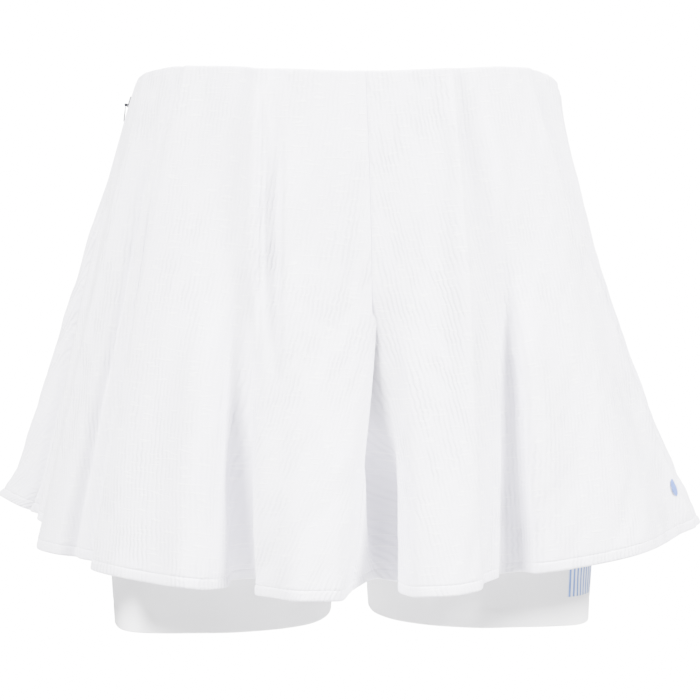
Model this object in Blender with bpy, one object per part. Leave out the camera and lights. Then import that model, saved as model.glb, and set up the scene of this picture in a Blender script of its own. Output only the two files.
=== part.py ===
"""Flared sports skort: a swinging skirt of four gores over close inner shorts, closed by a side zip.

Metres, +Z up. The wearer faces -Y, so the wearer's left side is at +X. The origin is the middle
of the waist, at the height of its top edge, where the wearer's body holds the garment.
"""
import math
from collections import namedtuple

import bmesh
import bpy
import numpy as np
from mathutils import Matrix, Vector

MM = 0.001

# Waist: an oval ring that a body fills out.
WAIST_HALF_WIDTH = 0.140
WAIST_HALF_DEPTH = 0.098

# Skirt: the plain cone that the folds stand out from, measured at the hem.
HEM_HALF_WIDTH = 0.215
HEM_FRONT_DEPTH = 0.124
HEM_BACK_DEPTH = 0.148
SEAT_FULLNESS = 0.75       # the back leaves the waist steeply, over the seat, then hangs
SKIRT_CLOTH = 0.0016
SHORTS_CLOTH = 0.0014
SEAM_GAP = 0.0003

SKIRT_COLUMNS_PER_FOLD = 4
SKIRT_ROWS = 15
SHORTS_ROWS = 17
SHORTS_COLUMNS = 9

# Each row is a ridge, a valley or a seam, in order round the skirt from the centre back.
# waist_deg and hem_deg: where it leaves the waist and reaches the hem, 0 at the front, + to +X.
# tuck and out: mm that it stands out of the plain cone at the waist and at the hem.
# cut: mm of cloth, waist to hem.  start: share of the way down at which its hem form begins.
# flare: 1 on a straight cone, more where the cloth hugs the hip first.
# bow: degrees that it swings to the wearer's left halfway down.
# edge: mm that the waist edge sits low.  kick: mm that the last tenth turns outwards.
Fold = namedtuple("Fold", "name waist_deg hem_deg tuck out cut start flare bow edge kick")
FOLDS = (
    Fold("centre back seam", -180, -180, 0, -10, 320, 0.25, 1.0, 0, 0, 0),
    Fold("back right ridge 1", -169, -167, 0, 21, 320, 0.20, 1.0, 0, 0, 0),
    Fold("back right valley 1", -158, -156, 0, -13, 320, 0.25, 1.0, 0, 0, 0),
    Fold("back right ridge 2", -147, -142, 0, 25, 319, 0.15, 1.0, 0, 1, 0),
    Fold("back right valley 2", -133, -130, 0, -12, 317, 0.20, 1.0, 0, 3, 0),
    Fold("back right ridge 3", -119, -121, 0, 18, 311, 0.10, 1.0, 0, 5, 0),
    Fold("side right valley", -111, -114, 0, 2, 304, 0.05, 0.9, 0, 7, 0),
    Fold("side right lobe", -102, -106, 1.5, 27, 300, 0.00, 0.88, 0, 8, 7),
    Fold("right side seam", -96, -101, 1, 4, 299, 0.00, 0.9, 0, 8, 3),
    Fold("side right tuck", -82, -92, 0, -10, 305, 0.00, 1.0, 0, 5, 0),
    Fold("front right lobe edge", -72, -75, 2, 0, 317, 0.00, 1.0, 0, 3, 0),
    Fold("front right lobe", -63, -62, 1, 6, 317, 0.00, 1.0, 0, 1, 0),
    Fold("front right tuck", -56, -52, 0, -10, 319, 0.00, 1.0, 0, 0, 0),
    Fold("front right panel edge", -51, -50.5, 2.5, 11, 322, 0.00, 1.0, -0.5, 0, 0),
    Fold("front right panel", -40, -40, 1, 20, 324, 0.10, 1.0, 0, 0.5, 0),
    Fold("front right panel turn", -32, -28, 1, 20, 325, 0.30, 1.0, 0, 1.2, 0),
    Fold("front right valley", -27, -20.5, 3, -18, 321, 0.38, 1.0, -0.8, 2.5, 0),
    Fold("centre right lobe edge", -23, -16.2, 0, 16, 326, 0.35, 1.0, -0.5, 2.5, 0),
    Fold("centre right lobe", -13, -11, 0.5, 34, 328, 0.35, 1.0, 0.5, 3.3, 0),
    Fold("centre right lobe turn", -4, -4.6, 1, 26, 327, 0.40, 1.0, 1.8, 4, 0),
    Fold("centre front seam", 0.5, -2.4, 1, -3, 323, 0.42, 1.0, 2.2, 4, 0),
    Fold("centre front valley", 4, 2.4, 1, -25, 320, 0.42, 1.0, 1.8, 4, 0),
    Fold("centre left lobe edge", 10, 7, 1, 19, 326, 0.38, 1.0, 1.4, 3.5, 0),
    Fold("centre left lobe", 17, 12, 0.5, 30, 327, 0.30, 1.0, 1, 2.7, 0),
    Fold("centre left lobe turn", 24, 17, 2.5, 24, 325, 0.10, 1.0, 1, 2, 0),
    Fold("front left valley", 32, 24, 0, -18, 321, 0.15, 1.0, 0.6, 1, 0),
    Fold("front left panel", 41, 34, 0, 8, 320, 0.20, 1.05, 0, 0.2, 0),
    Fold("front left panel crown", 51, 51, 0.5, 20, 319, 0.10, 1.1, 0, 0.5, 0),
    Fold("front left panel turn", 60, 69, 0.5, 13, 317, 0.00, 1.2, 0, 3, 0),
    Fold("front left panel edge", 67, 84, 3.5, 24, 314, 0.00, 1.3, 0, 8, 0),
    Fold("left side seam", 75, 93, 0, -4, 309, 0.00, 1.3, 0, 12, 0),
    Fold("side left lobe", 90, 107, 1.5, 20, 303, 0.00, 1.3, 0, 17, 0),
    Fold("side left valley", 107, 118, 0, -6, 305, 0.10, 1.2, 0, 14, 0),
    Fold("back left ridge 3", 122, 129, 0, 20, 312, 0.10, 1.1, 0, 9, 0),
    Fold("back left valley 2", 135, 140, 0, -14, 317, 0.20, 1.0, 0, 5, 0),
    Fold("back left ridge 2", 147, 151, 0, 22, 319, 0.15, 1.0, 0, 2, 0),
    Fold("back left valley 1", 160, 162, 0, -12, 320, 0.20, 1.0, 0, 0, 0),
    Fold("back left ridge 1", 170, 171, 0, 16, 320, 0.25, 1.0, 0, 0, 0),
)
FOLD_GROWTH = 1.4          # how fast a fold deepens below its start
KICK_FROM = 0.90
LEAST_DROP = 0.3           # share of its own length that any stretch of the cloth falls
CLOTH_SHARP_DEG = 50

# Shorts: a row for each level of the wearer's left half, in mm. outer and inner: the section's
# reach from the middle plane; while inner is negative the two halves meet on that plane.
# low_out and low_in: mm that the outer and inner sides of the section hang below its front.
Section = namedtuple("Section", "name down outer inner front back low_out low_in")
SECTIONS = (
    Section("waist", 0, 138.0, -138.0, 96.0, 96.0, 0, 0),
    Section("high hip", 35, 139.8, -139.8, 97, 102, 0, 0),
    Section("hip", 85, 148, -148, 100, 112, 0, 0),
    Section("seat", 140, 158, -152, 101, 118, 0, 0),
    Section("low seat", 180, 164, -124, 99, 116, 0, 0),
    Section("upper thigh", 210, 165, -78, 96, 112, 1, 0),
    Section("fork", 232, 165, -38, 93, 108, 2, 0),
    Section("under fork", 246, 164.5, -12, 91, 106, 2.5, 0),
    Section("crotch point", 253, 164, 0.6, 90, 105, 3, 0),
    Section("inner thigh", 275, 163, 6, 88, 101, 4, 0.5),
    Section("thigh", 315, 161, 10, 85, 97, 6, 1),
    Section("leg hem", 359, 158.5, 13, 82, 93, 9, 2),
)
SHORTS_EDGE_FADE = 0.110   # the shorts follow the skirt's low waist edge down to this depth
LEFT_LEG_WIDER = 0.004     # the wearer's left leg opening stands wider than the right one

# Side zip: its teeth close inside the right side seam, so only the slider and its tab show.
# Its sizes run across the seam, down the cloth and out from it.
SLIDER_DOWN = 0.014        # the slider's middle, down the cloth from the waist edge
SLIDER_WIDTH = 0.0044
SLIDER_LENGTH = 0.0075
SLIDER_THICK = 0.0013
SLIDER_LIFT = 0.0004       # its underside stands this far off the cloth
SLIDER_ROUNDING = 0.0003
EAR_THICK = 0.0008
EAR_LENGTH = 0.0020
EAR_GAP = 0.0023
PIN_DOWN = 0.0024          # the pin's axis, down from the slider's middle
PIN_LIFT = 0.0012          # the pin's axis, out from the slider's top face
PIN_RADIUS = 0.0004
TAB_LENGTH = 0.0112        # from the pin's axis to its round end
TAB_WIDTH = 0.0038
TAB_THICK = 0.0008
NECK_LENGTH = 0.0045       # from the pin's axis into the wider plate
NECK_WIDTH = 0.0017
NECK_THICK = 0.0006
TAB_END_FLAT = 0.0002      # what is left flat between the end's two round corners
TAB_EYE_RADIUS = 0.0010
TAB_HOLE_RADIUS = 0.0006
TAB_LEAN_DEG = 11          # the hanging tab leans in until its end all but touches the cloth
ROUND_SIDES = 16
METAL_SHARP_DEG = 30


def smooth_column(places, values, at, period=None):
    """Monotone cubic through the values: no ridge overshoots the height its row gives."""
    places = np.asarray(places, float)
    values = np.asarray(values, float)
    if period is not None:
        turn, rise = period
        places = np.concatenate((places[-2:] - turn, places, places[:3] + turn))
        values = np.concatenate((values[-2:] - rise, values, values[:3] + rise))
    run = np.diff(places)
    slope = np.diff(values) / run
    before, after = slope[:-1], slope[1:]
    weight_before = 2 * run[1:] + run[:-1]
    weight_after = run[1:] + 2 * run[:-1]
    same_way = before * after > 0
    safe_before = np.where(same_way, before, 1)
    safe_after = np.where(same_way, after, 1)
    mean = (weight_before + weight_after) / (weight_before / safe_before + weight_after / safe_after)
    tangent = np.concatenate(([slope[0]], np.where(same_way, mean, 0), [slope[-1]]))
    span = np.clip(np.searchsorted(places, at, side="right") - 1, 0, len(run) - 1)
    t = (at - places[span]) / run[span]
    start_value, end_value = values[span], values[span + 1]
    start_pull, end_pull = tangent[span] * run[span], tangent[span + 1] * run[span]
    return (start_value * (1 + 2 * t) * (1 - t) ** 2 + start_pull * t * (1 - t) ** 2
            + end_value * t * t * (3 - 2 * t) - end_pull * t * t * (1 - t))


def unit(vectors):
    return vectors / np.linalg.norm(vectors, axis=-1, keepdims=True)


def skirt_surface():
    """Outer face of the whole skirt as a grid, columns round the body and rows down the cloth."""
    count = len(FOLDS)
    turn = np.arange(count * SKIRT_COLUMNS_PER_FOLD) / SKIRT_COLUMNS_PER_FOLD

    def column(field, rise=0):
        values = [getattr(fold, field) for fold in FOLDS]
        return smooth_column(range(count), values, turn, (count, rise))[:, None]

    waist = np.radians(column("waist_deg", 360))
    hem = np.radians(column("hem_deg", 360))
    tuck, out, cut, start = column("tuck") * MM, column("out") * MM, column("cut") * MM, column("start")
    down = np.linspace(0, 1, SKIRT_ROWS + 1)[None, :]

    # The oval of the cone at each depth, and its outward direction at the hem.
    turned = waist + (hem - waist) * down + np.radians(column("bow")) * np.sin(math.pi * down)
    behind = np.cos(turned) < 0
    half_width = WAIST_HALF_WIDTH + (HEM_HALF_WIDTH - WAIST_HALF_WIDTH) * down ** column("flare")
    front_depth = WAIST_HALF_DEPTH + (HEM_FRONT_DEPTH - WAIST_HALF_DEPTH) * down
    back_depth = WAIST_HALF_DEPTH + (HEM_BACK_DEPTH - WAIST_HALF_DEPTH) * down ** SEAT_FULLNESS
    half_depth = np.where(behind, back_depth, front_depth)
    outward = unit(np.stack((np.sin(turned) * half_depth, -np.cos(turned) * half_width), -1))

    depth_in_fold = np.clip((down - start) / (1 - start), 0, 1) ** FOLD_GROWTH
    kicked = np.clip((down - KICK_FROM) / (1 - KICK_FROM), 0, 1) ** 2 * column("kick") * MM
    stand = (tuck * (1 - down) + out * depth_in_fold + kicked)[..., None]
    level = np.stack((half_width * np.sin(turned), -half_depth * np.cos(turned)), -1) + outward * stand

    # The cloth keeps its cut length, so what swings out hangs less far down.
    step_out = np.linalg.norm(np.diff(level, axis=1), axis=-1)
    step = cut / SKIRT_ROWS
    step_down = np.sqrt(np.maximum(step ** 2 - step_out ** 2, (LEAST_DROP * step) ** 2))
    height = -np.concatenate((np.zeros((len(turn), 1)), np.cumsum(step_down, axis=1)), axis=1)
    height -= column("edge") * MM
    return np.concatenate((level, height[..., None]), axis=-1)


def skirt_normals(surface):
    """Outward directions of the skirt's face, whose columns close into a ring."""
    across = np.roll(surface, -1, axis=0) - np.roll(surface, 1, axis=0)
    return unit(np.cross(np.gradient(surface, axis=1), across))


def make_wall(name, outer, inner, material, collection):
    """A closed cloth wall between two grids of points."""
    columns, rows = outer.shape[:2]
    bm = bmesh.new()
    faces = {}
    for side, grid in (("outer", outer), ("inner", inner)):
        faces[side] = [[bm.verts.new(grid[i, j]) for j in range(rows)] for i in range(columns)]
        for i in range(columns - 1):
            for j in range(rows - 1):
                v = faces[side]
                bm.faces.new((v[i][j], v[i][j + 1], v[i + 1][j + 1], v[i + 1][j]))
    rim = [(i, 0) for i in range(columns)] + [(columns - 1, j) for j in range(1, rows)]
    rim += [(i, rows - 1) for i in range(columns - 2, -1, -1)] + [(0, j) for j in range(rows - 2, 0, -1)]
    for (i, j), (k, m) in zip(rim, rim[1:] + rim[:1]):
        bm.faces.new((faces["outer"][i][j], faces["outer"][k][m], faces["inner"][k][m], faces["inner"][i][j]))
    bmesh.ops.recalc_face_normals(bm, faces=bm.faces)
    mesh = bpy.data.meshes.new(name)
    bm.to_mesh(mesh)
    bm.free()
    mesh.shade_smooth()
    mesh.set_sharp_from_angle(angle=math.radians(CLOTH_SHARP_DEG))
    mesh.materials.append(material)
    piece = bpy.data.objects.new(name, mesh)
    collection.objects.link(piece)
    return piece


def make_gore(name, first_seam, last_seam, surface, normals, material, collection):
    """One gore: the skirt's columns from seam to seam, each edge drawn back half a seam gap."""
    names = [fold.name for fold in FOLDS]
    first = names.index(first_seam) * SKIRT_COLUMNS_PER_FOLD
    last = names.index(last_seam) * SKIRT_COLUMNS_PER_FOLD
    total = len(surface)
    last += total if last <= first else 0
    picked = np.arange(first, last + 1) % total
    outer = surface[picked].copy()
    inward = -normals[picked] * SKIRT_CLOTH
    outer[0] += unit(surface[picked[0] + 1] - surface[picked[0]]) * SEAM_GAP / 2
    outer[-1] += unit(surface[picked[-1] - 1] - surface[picked[-1]]) * SEAM_GAP / 2
    return make_wall(name, outer, outer + inward, material, collection)


def shorts_surface(side_sign):
    """Outer face of half of the shorts, from the middle plane round its front, side and back."""
    rows = np.linspace(0, len(SECTIONS) - 1, SHORTS_ROWS + 1)
    levels = [smooth_column(range(len(SECTIONS)), [getattr(s, field) for s in SECTIONS], rows) * MM
              for field in Section._fields[1:]]
    down, outer, inner, front, back, low_out, low_in = (level[None, :] for level in levels)
    if side_sign > 0:
        outer = outer + LEFT_LEG_WIDER * (down / down.max()) ** 2
    centre, half_width = (outer + inner) / 2, (outer - inner) / 2
    meet = np.arccos(np.clip(centre / half_width, -1, 1))
    share = np.linspace(-1, 1, 2 * SHORTS_COLUMNS + 1)[:, None]
    turn = np.sign(share) * (meet + (math.pi - meet) * (1 - np.abs(share)))
    turn[SHORTS_COLUMNS] = math.pi
    depth = np.where(share < 0, front, back)
    x = centre - half_width * np.cos(turn)
    y = depth * np.sin(turn)
    y[SHORTS_COLUMNS] = 0
    low = np.where(np.cos(turn) < 0, low_out, low_in) * np.cos(turn) ** 2
    bearing = np.degrees(np.arctan2(x[:, :1] / outer[:, :1], -y[:, :1] / front[:, :1])) * side_sign
    edge = smooth_column([fold.waist_deg for fold in FOLDS], [fold.edge for fold in FOLDS], bearing, (360, 0))
    z = -down - low - edge * MM * np.clip(1 - down / SHORTS_EDGE_FADE, 0, 1)
    grid = np.stack((x, y, z), -1)
    across = np.stack((half_width * np.sin(turn), depth * np.cos(turn), np.gradient(z, turn[:, 0], axis=0)), -1)
    normal = unit(np.cross(across, np.gradient(grid, axis=1)))
    return grid, normal


def make_shorts_panel(name, side, face, material, collection):
    """A front or back panel: half of a leg and of the body above it, mirrored for the right."""
    grid, normal = shorts_surface(-1 if side == "right" else 1)
    half = slice(0, SHORTS_COLUMNS + 1) if face == "front" else slice(SHORTS_COLUMNS, None)
    outer = grid[half].copy()
    inner = outer - normal[half] * SHORTS_CLOTH
    step_back = -SEAM_GAP / 2 if face == "front" else SEAM_GAP / 2
    edge = SHORTS_COLUMNS if face == "front" else 0
    inseam = 0 if face == "front" else SHORTS_COLUMNS
    for wall in (outer, inner):
        wall[edge, :, 1] += step_back
        wall[inseam, :, 1] += step_back
        wall[..., 0] = np.maximum(wall[..., 0], SEAM_GAP / 2)
    if side == "right":
        outer[..., 0] *= -1
        inner[..., 0] *= -1
    return make_wall(name, outer, inner, material, collection)


def zip_frame(surface):
    """Place on the side seam where the slider sits: X across the seam, -Y down the cloth, Z out."""
    seam = surface[[fold.name for fold in FOLDS].index("right side seam") * SKIRT_COLUMNS_PER_FOLD]
    along = np.concatenate(([0], np.cumsum(np.linalg.norm(np.diff(seam, axis=0), axis=1))))
    place = Vector(np.interp(SLIDER_DOWN, along, seam[:, k]) for k in range(3))
    below = Vector(np.interp(SLIDER_DOWN + TAB_LENGTH, along, seam[:, k]) for k in range(3))
    down = below - place
    down.y = 0
    down.normalize()
    across = Vector((0, -1, 0))
    out = across.cross(-down)
    return Matrix((across, -down, out)).transposed().to_4x4(), place


def new_piece(name, bm, frame, material, collection):
    """A piece modelled about its own origin, set in the frame that carries it."""
    mesh = bpy.data.meshes.new(name)
    bm.to_mesh(mesh)
    bm.free()
    mesh.shade_smooth()
    mesh.set_sharp_from_angle(angle=math.radians(METAL_SHARP_DEG))
    mesh.materials.append(material)
    piece = bpy.data.objects.new(name, mesh)
    piece.matrix_world = frame
    collection.objects.link(piece)
    return piece


def add_block(bm, size, centre):
    made = bmesh.ops.create_cube(bm, size=1)["verts"]
    bmesh.ops.scale(bm, vec=size, verts=made)
    bmesh.ops.translate(bm, vec=centre, verts=made)


def add_rod(bm, radius, length, centre):
    """A cylinder along X."""
    made = bmesh.ops.create_cone(bm, cap_ends=True, segments=ROUND_SIDES, radius1=radius,
                                 radius2=radius, depth=length)["verts"]
    bmesh.ops.rotate(bm, verts=made, matrix=Matrix.Rotation(math.pi / 2, 3, "Y"))
    bmesh.ops.translate(bm, vec=centre, verts=made)


def combine(piece, other, operation):
    """Join or cut a piece with another in the same frame, and put the other out of the way."""
    modifier = piece.modifiers.new(operation.lower(), "BOOLEAN")
    modifier.operation = operation
    modifier.object = other
    other.hide_render = True
    other.display_type = "WIRE"


def make_zip(surface, material, parts, cutters):
    """The slider on the side seam, and the tab that hangs from its pin."""
    turn, place = zip_frame(surface)
    slider_frame = Matrix.Translation(place) @ turn
    top = SLIDER_LIFT + SLIDER_THICK
    pin = Vector((0, -PIN_DOWN, top + PIN_LIFT))

    bm = bmesh.new()
    add_block(bm, (SLIDER_WIDTH, SLIDER_LENGTH, SLIDER_THICK), (0, 0, SLIDER_LIFT + SLIDER_THICK / 2))
    bmesh.ops.bevel(bm, geom=bm.edges[:], offset=SLIDER_ROUNDING, segments=2, profile=0.5,
                    affect="EDGES", material=-1)
    slider = new_piece("zip_slider", bm, slider_frame, material, parts)
    ear_height = PIN_LIFT + TAB_EYE_RADIUS
    for number, side in enumerate((-1, 1), start=1):
        bm = bmesh.new()
        ear_middle = (side * (EAR_GAP + EAR_THICK) / 2, -PIN_DOWN, top - SLIDER_THICK / 4 + ear_height / 2)
        add_block(bm, (EAR_THICK, EAR_LENGTH, ear_height + SLIDER_THICK / 2), ear_middle)
        combine(slider, new_piece(f"slider_ear_{number}", bm, slider_frame, material, cutters), "UNION")
    bm = bmesh.new()
    add_rod(bm, PIN_RADIUS, EAR_GAP + EAR_THICK, pin)
    combine(slider, new_piece("slider_pin", bm, slider_frame, material, cutters), "UNION")

    # The tab's own origin is on the pin's axis; it leans in towards the cloth as it hangs.
    hinge = slider_frame @ Matrix.Translation(pin) @ Matrix.Rotation(math.radians(TAB_LEAN_DEG), 4, "X")
    bm = bmesh.new()
    add_rod(bm, TAB_EYE_RADIUS, NECK_WIDTH, (0, 0, 0))
    tab = new_piece("zip_pull", bm, hinge, material, parts)
    bm = bmesh.new()
    add_block(bm, (NECK_WIDTH, NECK_LENGTH - TAB_HOLE_RADIUS, NECK_THICK),
              (0, -(NECK_LENGTH + TAB_HOLE_RADIUS) / 2, 0))
    combine(tab, new_piece("tab_neck", bm, hinge, material, cutters), "UNION")
    bm = bmesh.new()
    plate_top = NECK_LENGTH - NECK_WIDTH / 2
    add_block(bm, (TAB_WIDTH, TAB_LENGTH - plate_top, TAB_THICK), (0, -(TAB_LENGTH + plate_top) / 2, 0))
    corners = [edge for edge in bm.edges if all(v.co.y < -plate_top - TAB_WIDTH for v in edge.verts)
               and edge.verts[0].co.x == edge.verts[1].co.x]
    bmesh.ops.bevel(bm, geom=corners, offset=(TAB_WIDTH - TAB_END_FLAT) / 2, segments=ROUND_SIDES // 2,
                    profile=0.5, affect="EDGES", material=-1)
    combine(tab, new_piece("tab_plate", bm, hinge, material, cutters), "UNION")
    bm = bmesh.new()
    add_rod(bm, TAB_HOLE_RADIUS, TAB_WIDTH * 2, (0, 0, 0))
    combine(tab, new_piece("tab_hole", bm, hinge, material, cutters), "DIFFERENCE")


def make_material(name, colour, roughness, metallic=0.0):
    material = bpy.data.materials.new(name)
    material.use_nodes = True
    shader = material.node_tree.nodes["Principled BSDF"]
    shader.inputs["Base Color"].default_value = (*colour, 1)
    shader.inputs["Roughness"].default_value = roughness
    shader.inputs["Metallic"].default_value = metallic
    return material


def build():
    for item in list(bpy.data.objects):
        bpy.data.objects.remove(item, do_unlink=True)
    parts = bpy.data.collections.new("flared_skort")
    cutters = bpy.data.collections.new("cutters")
    for group in (parts, cutters):
        bpy.context.scene.collection.children.link(group)
    skirt_cloth = make_material("ribbed_jersey", (0.88, 0.88, 0.90), 0.85)
    shorts_cloth = make_material("plain_jersey", (0.86, 0.86, 0.88), 0.8)
    zip_metal = make_material("zip_metal", (0.20, 0.20, 0.22), 0.35, 1.0)

    surface = skirt_surface()
    normals = skirt_normals(surface)
    for name, first, last in (
            ("skirt_back_right", "centre back seam", "right side seam"),
            ("skirt_front_right", "right side seam", "centre front seam"),
            ("skirt_front_left", "centre front seam", "left side seam"),
            ("skirt_back_left", "left side seam", "centre back seam")):
        make_gore(name, first, last, surface, normals, skirt_cloth, parts)

    for side in ("right", "left"):
        for face in ("front", "back"):
            make_shorts_panel(f"shorts_{face}_{side}", side, face, shorts_cloth, parts)
    make_zip(surface, zip_metal, parts, cutters)


build()
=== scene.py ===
import math
from collections import namedtuple

import bmesh
import bpy
import numpy as np
from mathutils import Matrix, Vector


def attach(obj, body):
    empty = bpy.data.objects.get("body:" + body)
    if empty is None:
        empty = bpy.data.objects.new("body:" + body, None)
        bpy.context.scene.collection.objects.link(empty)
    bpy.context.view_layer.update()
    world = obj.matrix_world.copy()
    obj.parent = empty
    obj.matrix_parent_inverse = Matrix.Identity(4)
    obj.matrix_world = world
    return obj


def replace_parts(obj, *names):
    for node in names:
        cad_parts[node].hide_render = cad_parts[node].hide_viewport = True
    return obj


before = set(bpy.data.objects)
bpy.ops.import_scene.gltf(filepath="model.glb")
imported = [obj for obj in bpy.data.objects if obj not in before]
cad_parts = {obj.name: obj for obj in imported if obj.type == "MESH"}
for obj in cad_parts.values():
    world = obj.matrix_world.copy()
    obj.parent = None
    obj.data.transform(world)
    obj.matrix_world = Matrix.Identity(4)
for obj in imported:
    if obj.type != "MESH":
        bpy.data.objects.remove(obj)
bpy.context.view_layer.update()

# ------------------------------
# Ribbed jersey: the skirt's white knit, with upright ribs about 3 mm apart that waver, fade and come
# back, and a few short floats across them. It is matt, a little cool, and has the faint fuzz of a
# brushed yarn. The ribs follow each piece as it was cut. The grooves between the ribs are sunk by a
# bump, and their colour is also painted darker as painted shade.


def operate(name, swapped=False):
    def act(wire, other):
        first, second = (other, wire) if swapped else (wire, other)
        return wire.finish.node("ShaderNodeMath", {"operation": name}, {0: first, 1: second})
    return act


class Wire:
    """A number that varies over a surface: arithmetic on it adds the nodes that work it out."""

    def __init__(self, finish, socket):
        self.finish = finish
        self.socket = socket

    __add__ = __radd__ = operate("ADD")
    __mul__ = __rmul__ = operate("MULTIPLY")
    __rsub__ = operate("SUBTRACT", swapped=True)
    __truediv__ = operate("DIVIDE")
    __pow__ = operate("POWER")
    __gt__ = operate("GREATER_THAN")
    __lt__ = operate("LESS_THAN")


class Finish:
    """One material on a Principled shader, with its constants set on the shader's own sockets."""

    def __init__(self, name, **constants):
        self.material = bpy.data.materials.new(name)
        self.material.use_nodes = True
        self.tree = self.material.node_tree
        self.shader = self.tree.nodes["Principled BSDF"]
        for socket, value in constants.items():
            self.shader.inputs[socket.replace("_", " ").title()].default_value = value

    def node(self, kind, settings, inputs, output=0):
        made = self.tree.nodes.new(kind)
        for field, value in settings.items():
            setattr(made, field, value)
        for socket, value in inputs.items():
            self.feed(made.inputs[socket], value)
        return Wire(self, made.outputs[output])

    def feed(self, socket, value):
        if isinstance(socket, str):
            socket = self.shader.inputs[socket]
        if isinstance(value, Wire):
            self.tree.links.new(value.socket, socket)
        else:
            socket.default_value = value

    def place_on_cloth(self):
        """Where a point was on the flat cloth: millimetres across it and up it."""
        flat = self.node("ShaderNodeUVMap", {"uv_map": "cloth"}, {})
        across = self.node("ShaderNodeSeparateXYZ", {}, {0: flat}, "X")
        up = self.node("ShaderNodeSeparateXYZ", {}, {0: flat}, "Y")
        return across / MM, up / MM

    def noise(self, across, up, detail=2.0):
        """Soft patches laid out on the flat cloth."""
        point = self.node("ShaderNodeCombineXYZ", {}, {"X": across, "Y": up})
        return self.node("ShaderNodeTexNoise", {"noise_dimensions": "2D"},
                         {"Vector": point, "Scale": 1.0, "Detail": detail})

    def speckle(self, scale, detail=2.0):
        """Fine spots through the whole piece."""
        spot = self.node("ShaderNodeTexCoord", {}, {}, "Object")
        return self.node("ShaderNodeTexNoise", {}, {"Vector": spot, "Scale": scale, "Detail": detail})

    def wave(self, phase):
        """0 to 1 and back once for every whole number of phase."""
        return self.node("ShaderNodeMath", {"operation": "SINE"}, {0: phase * (2 * math.pi)}) * 0.5 + 0.5

    def ease(self, value, low, high):
        return self.node("ShaderNodeMapRange", {"interpolation_type": "SMOOTHSTEP"},
                         {"Value": value, "From Min": low, "From Max": high})

    def mix(self, factor, first, second):
        """Two colours in shares: the first where the factor is 0, the second where it is 1."""
        made = self.tree.nodes.new("ShaderNodeMix")
        made.data_type = "RGBA"
        self.feed(made.inputs["Factor"], factor)
        for socket, colour in (("A", first), ("B", second)):
            inlet = [entry for entry in made.inputs if entry.name == socket and entry.type == "RGBA"][0]
            self.feed(inlet, colour if isinstance(colour, Wire) else (*colour, 1))
        outlet = [entry for entry in made.outputs if entry.type == "RGBA"][0]
        return Wire(self, outlet)

    def raise_by(self, height_mm):
        """Relief in millimetres, read by the shader as a bump."""
        bump = self.node("ShaderNodeBump", {}, {"Strength": 1.0, "Distance": MM, "Height": height_mm})
        self.feed("Normal", bump)


MM = 0.001
RIB_PITCH = 2.9
RIB_RELIEF = 0.42
JERSEY_WHITE = (0.812, 0.800, 0.868)
# the darker colour below is painted shade, laid in the grooves between the ribs
JERSEY_GROOVE_SHADE = (0.672, 0.664, 0.728)
JERSEY_FLOAT = (0.940, 0.935, 0.960)

ribbed = Finish("ribbed_jersey", roughness=0.86, sheen_weight=0.12, sheen_roughness=0.6)
across, up = ribbed.place_on_cloth()
drift = ribbed.noise(across * 0.035, up * 0.012, detail=1.0) * 5.0
waver = ribbed.wave(up / 11.0 + ribbed.noise(across * 0.05, up * 0.03) * 3.0) * 0.55
rib_line = ribbed.wave((across + drift + waver) / RIB_PITCH)
broken = ribbed.ease(ribbed.noise(across * 0.09 + 40.0, up * 0.045, detail=2.0), 0.36, 0.66)
patchy = ribbed.ease(ribbed.noise(across * 0.016 + 7.0, up * 0.010, detail=1.0), 0.30, 0.70)
# this mask both sinks the grooves as a bump and darkens their colour as painted shade
groove_depth_and_shade = (1.0 - rib_line) ** 1.6 * (0.25 + 0.75 * broken) * (0.35 + 0.65 * patchy)
float_mark = ribbed.ease(ribbed.noise(across * 0.10 + 90.0, up * 0.62, detail=0.0), 0.70, 0.78)
yarn = ribbed.wave(up / 0.75 + rib_line * 0.5) * 0.6 + ribbed.noise(across * 2.4, up * 2.4, detail=1.0)
shade = ribbed.mix(groove_depth_and_shade, JERSEY_WHITE, JERSEY_GROOVE_SHADE)
ribbed.feed("Base Color", ribbed.mix(float_mark * 0.55, shade, JERSEY_FLOAT))
ribbed.raise_by(groove_depth_and_shade * -RIB_RELIEF + float_mark * 0.10 + yarn * 0.022)

# ------------------------------
# Skirt: four flared gores, two in front and two behind, joined by plain seams at the centre front, the
# sides and the centre back. They fit the waist and hold more than twice as much cloth at the hem, and
# the spare cloth falls in soft, uneven folds. The edges are turned in, the seams pressed open inside.

WAIST_HALF_WIDTH = 0.140
WAIST_HALF_DEPTH = 0.098
HEM_HALF_WIDTH = 0.215
HEM_FRONT_DEPTH = 0.124
HEM_BACK_DEPTH = 0.148
SEAT_FULLNESS = 0.75  # the back leaves the waist steeply, over the seat, then hangs
FOLD_GROWTH = 1.4  # how fast a fold deepens below its start
KICK_FROM = 0.90
LEAST_DROP = 0.3  # share of its own length that any stretch of the cloth falls
CLOTH = 0.0010
SEAM_GAP = 0.0003

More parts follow.
